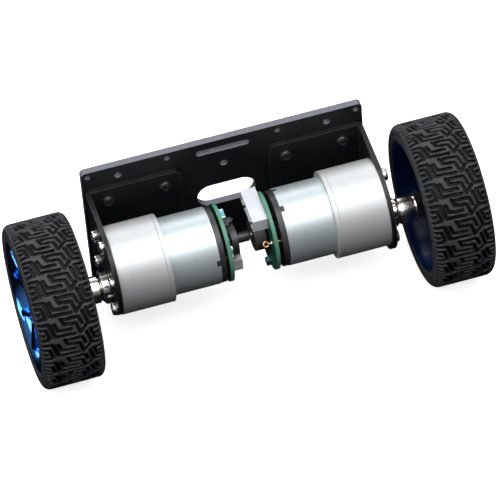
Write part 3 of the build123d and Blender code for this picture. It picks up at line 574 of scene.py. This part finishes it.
def hub_outline():
    """The hub from the coupling's socket to the spokes' outer plane, with a recess for the screw."""
    inner, outer = HUB_FACES
    floor, recess = SCREW_RECESS
    bore_end, bore = SHAFT_BORE
    socket_end, socket = HUB_SOCKET
    return [
        (inner, socket), (inner, HUB_RADIUS - 0.45), (inner + 0.5, HUB_RADIUS), (outer - 1.2, HUB_RADIUS),
        (outer - 0.3, HUB_RADIUS - 0.45), (outer, 8.3), (outer, recess + 0.6), (outer - 0.4, recess + 0.05),
        (floor, recess), (floor, SCREW_BORE), (bore_end, SCREW_BORE), (bore_end, bore), (socket_end, bore),
        (socket_end, socket),
    ]


def rim(wheel):
    """Blue rim: barrel with rounded lips, hub with its recess, and forked spokes."""
    low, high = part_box(f"{wheel.side}_wheel_rim")
    reach = (high.x - low.x) / 2 / MM
    shells = [
        ring(wheel, barrel_outline(reach), BARREL_SEGMENTS),
        ring(wheel, hub_outline(), HUB_SEGMENTS),
    ]
    for fork in range(SPOKE_FORKS):
        middle = 360 / SPOKE_FORKS * (fork + 0.5)
        shells.append(spoke(wheel, middle, 1, SPOKE_STEM))
        for sign in (-1, 1):
            shells.append(spoke(wheel, middle, sign, SPOKE_ARM))
    all_vertices, all_faces = [], []
    for vertices, faces in shells:
        start = len(all_vertices)
        all_vertices += vertices
        all_faces += [tuple(start + i for i in face) for face in faces]
    made = piece(
        f"{wheel.side}_rim_spoked", all_vertices, all_faces, [LOOKS["blue_rim"], INNER_RIM_PAINTED_SHADE],
        f"{wheel.side}_wheel",
    )
    # The inner half, and every face turned toward the middle of the robot, is painted dark navy as painted
    # shade.
    for face in made.data.polygons:
        outward = wheel.sign * (face.center.x / MM - wheel.middle)
        if outward < INNER_RIM_END or wheel.sign * face.normal.x < -0.5:
            face.material_index = 1
    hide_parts(f"{wheel.side}_wheel_rim")


# ---------------------------------------------------------------- board details
MOTOR_Y, MOTOR_Z = 2.025, 39.25
BOSS_START = 57.4  # the cover's boss begins here, measured from the robot's middle
SMALL_SEGMENTS = 32
EYE_SEGMENTS, EYE_SECTIONS = 40, 16
EYE_REACH, EYE_RADIUS, EYE_WIDTH, EYE_THICKNESS = 2.3, 1.05, 0.38, 0.25
EYE_FACING = Vector((0, -0.66, 0.75))
TERMINAL_RING = 9.0
BOARD_FACE = {"left": 9.4, "right": 8.6}
TERMINALS = {"left": (0, 180), "right": (168, 348)}  # degrees round the motor's axis
SOLDER_PROFILE = ((-0.02, 0.72), (-0.02, 1.5), (0.2, 1.42), (0.5, 1.1), (0.85, 0.86), (1.0, 0.72))
CHIPS = {  # place along Y and Z from the motor's axis, width, height and thickness
    "left": ((2.2, 13.9, 4.6, 1.8, 1.8), (-12.4, 7.6, 1.4, 3.6, 0.8)),
    "right": ((-3.7, -14.6, 2.6, 1.9, 1.5),),
}
CHIP_SKIN = 0.08
CHIP_CAP = 0.3  # share of a chip's half length that each cap covers
CAP_SKIN = 0.06
CAP_REACH = 0.05  # how far a cap stands past the chip's end
CHIP_ROUND = 0.12


def on_board(side, outward, y, z):
    """A point in metres in front of a board: outward is the distance from its face to the middle."""
    return Vector((SIDES[side] * (BOARD_FACE[side] - outward), MOTOR_Y + y, MOTOR_Z + z)) * MM


def turned_piece(name, side, y, z, profile, material):
    """A small closed turned shape whose axis is parallel to the axle, standing on a board."""
    vertices = []
    for outward, radius in profile:
        for step in range(SMALL_SEGMENTS):
            angle = 2 * math.pi * step / SMALL_SEGMENTS
            across, up = radius * math.cos(angle), radius * math.sin(angle)
            vertices.append(on_board(side, outward, y + across, z + up))
    piece(name, vertices, closed_grid(len(profile), SMALL_SEGMENTS), [material], "chassis")


def terminal_details(side):
    """Solder round each motor terminal, and the copper eyelet on the front one of the right board."""
    for degrees in TERMINALS[side]:
        y = TERMINAL_RING * math.cos(math.radians(degrees))
        z = TERMINAL_RING * math.sin(math.radians(degrees))
        turned_piece(f"{side}_solder_{degrees}", side, y, z, SOLDER_PROFILE, SOLDER)
        if (side, degrees) == ("right", TERMINALS["right"][0]):
            eyelet(side, y, z)


def eyelet(side, y, z):
    """A flat copper eye at the end of a terminal, in a plane that is parallel to the axle."""
    vertices = []
    along = Vector((-SIDES[side], 0, 0))
    across = EYE_FACING.cross(along)
    centre = on_board(side, EYE_REACH, y, z)
    for step in range(EYE_SEGMENTS):
        turn = 2 * math.pi * step / EYE_SEGMENTS
        outward = along * math.cos(turn) + across * math.sin(turn)
        for section in range(EYE_SECTIONS):
            angle = 2 * math.pi * section / EYE_SECTIONS
            wide, thick = EYE_RADIUS + EYE_WIDTH * math.cos(angle), EYE_THICKNESS * math.sin(angle)
            vertices.append(centre + (outward * wide + EYE_FACING * thick) * MM)
    faces = closed_grid(EYE_SEGMENTS, EYE_SECTIONS)
    piece(f"{side}_terminal_eye", vertices, faces, [COPPER_RING], "chassis")


def rounded_block(side, y, z, half_y, half_z, top):
    """Vertices and faces of a block with rounded corners that stands on a board."""
    build = bmesh.new()
    bmesh.ops.create_cube(build, size=1.0)
    for vertex in build.verts:
        outward, across, up = top * (vertex.co.x + 0.5), 2 * half_y * vertex.co.y, 2 * half_z * vertex.co.z
        vertex.co = on_board(side, outward, y + across, z + up)
    edges = list(build.edges)
    bmesh.ops.bevel(build, geom=edges, offset=CHIP_ROUND * MM, segments=3, affect="EDGES", profile=0.5)
    build.verts.index_update()
    vertices = [vertex.co.copy() for vertex in build.verts]
    faces = [[vertex.index for vertex in face.verts] for face in build.faces]
    build.free()
    return vertices, faces


def chip(name, side, y, z, wide, tall, high):
    """A teal chip with rounded corners and a bright cap over each end."""
    long_side = 1 if tall > wide else 0
    half = [wide / 2 + CHIP_SKIN, tall / 2 + CHIP_SKIN]
    end = half[long_side]
    cap = end * CHIP_CAP
    cap_centre = end - cap / 2 + CAP_REACH
    body_half, cap_half = list(half), [reach + CAP_SKIN for reach in half]
    body_half[long_side] = end - cap
    cap_half[long_side] = cap / 2 + CAP_SKIN
    blocks = (
        ("body", 0.0, body_half, high + CAP_SKIN, TEAL_CHIP),
        ("cap_a", cap_centre, cap_half, high + 2 * CAP_SKIN, SOLDER),
        ("cap_b", -cap_centre, cap_half, high + 2 * CAP_SKIN, SOLDER),
    )
    for label, shift, (half_y, half_z), top, material in blocks:
        place = [y, z]
        place[long_side] += shift
        vertices, faces = rounded_block(side, *place, half_y, half_z, top)
        piece(f"{name}_{label}", vertices, faces, [material], "chassis")


def chrome_boss(side):
    """A bright finish on the boss, which belongs to the same node as the gearbox cover."""
    node = frame["nodes"][f"{side}_gearbox_cover"]
    node.data.materials.append(LOOKS["bright_hub"])
    for face in node.data.polygons:
        if abs((node.matrix_world @ face.center).x) > BOSS_START * MM:
            face.material_index = 1


def gold_pins(side):
    """Gold on the header's pins, which belong to the same node as the chips."""
    node = frame["nodes"][f"{side}_board_parts"]
    low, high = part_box(f"{side}_board_header")
    node.data.materials.append(PIN_GOLD)
    for face in node.data.polygons:
        centre = node.matrix_world @ face.center
        if all(low[i] <= centre[i] <= high[i] for i in (1, 2)):
            face.material_index = 1


# ---------------------------------------------------------------- light and floor
LIGHTS = {  # place and size in metres, and power
    "key": ((-0.1, -0.3, 1.55), (2.0, 1.5), 40),
    "back": ((0.1, 1.7, 1.0), (2.6, 1.0), 22),
    "side": ((-1.6, -0.5, 0.7), (0.5, 0.9), 7),
    "front": ((0.3, -1.4, 1.3), (0.35, 0.35), 0.4),
}
LIGHT_AIM = Vector((0, 0, 0.03))
SKY = {"From Min": -0.05, "From Max": 0.6, "To Min": 0.01, "To Max": 0.34}  # brightness against height


def area_light(name, place, size, power):
    """A rectangular light aimed at the robot."""
    data = bpy.data.lights.new(name, "AREA")
    data.shape, data.size, data.size_y = "RECTANGLE", size[0], size[1]
    data.energy = power
    light = bpy.data.objects.new(name, data)
    light.location = place
    light.rotation_mode = "QUATERNION"
    light.rotation_quaternion = (LIGHT_AIM - Vector(place)).to_track_quat("-Z", "Y")
    bpy.context.scene.collection.objects.link(light)


def floor():
    """Pale floor that takes soft shadows and isn't mirrored in the robot."""
    h = FLOOR_HALF
    mesh = bpy.data.meshes.new("floor")
    mesh.from_pydata([(-h, -h, 0), (h, -h, 0), (h, h, 0), (-h, h, 0)], [], [(0, 1, 2, 3)])
    made = bpy.data.objects.new("floor", mesh)
    bpy.context.scene.collection.objects.link(made)
    surface = Surface("floor_look", 0.9, Specular_IOR_Level=0.1)
    surface.colour(surface.mix(surface.noise(2), (0.80, 0.80, 0.80), (0.83, 0.83, 0.83)))
    surface.shader.inputs["Emission Color"].default_value = (1.0, 1.0, 1.0, 1.0)
    surface.shader.inputs["Emission Strength"].default_value = FLOOR_GLOW
    mesh.materials.append(surface.material)
    made.visible_glossy = False
    made.visible_diffuse = False


def sky():
    """A plain warm world, brighter above than at the horizon."""
    world = bpy.data.worlds.new("studio")
    world.use_nodes = True
    tree = world.node_tree
    background = tree.nodes["Background"]
    background.inputs["Color"].default_value = (1.0, 0.98, 0.95, 1.0)
    parts, height = tree.nodes.new("ShaderNodeSeparateXYZ"), tree.nodes.new("ShaderNodeMapRange")
    tree.links.new(tree.nodes.new("ShaderNodeTexCoord").outputs["Generated"], parts.inputs["Vector"])
    tree.links.new(parts.outputs["Z"], height.inputs["Value"])
    for socket, value in SKY.items():
        height.inputs[socket].default_value = value
    tree.links.new(height.outputs["Result"], background.inputs["Strength"])
    bpy.context.scene.world = world


def stage():
    """Floor, sky and soft studio lights."""
    floor()
    sky()
    for name, (place, size, power) in LIGHTS.items():
        area_light(name, place, size, power)
    bpy.context.scene.view_settings.view_transform = "Standard"


def dress_frame():
    """Give each CAD node the look of its material slot."""
    slots = {row["node"]: row["material_slot"] for row in frame["record"]["subparts"]}
    for name, node in frame["nodes"].items():
        look = PLATE_PAINT if name == "chassis_plate" else LOOKS[slots[name]]
        node.data.materials.clear()
        node.data.materials.append(look)


dress_frame()
for side in SIDES:
    wheel = Wheel(side)
    tyre(wheel)
    rim(wheel)
    terminal_details(side)
    gold_pins(side)
    chrome_boss(side)
    for number, place in enumerate(CHIPS[side]):
        chip(f"{side}_chip_{number}", side, *place)
stage()
camera()

bpy.context.view_layer.update()
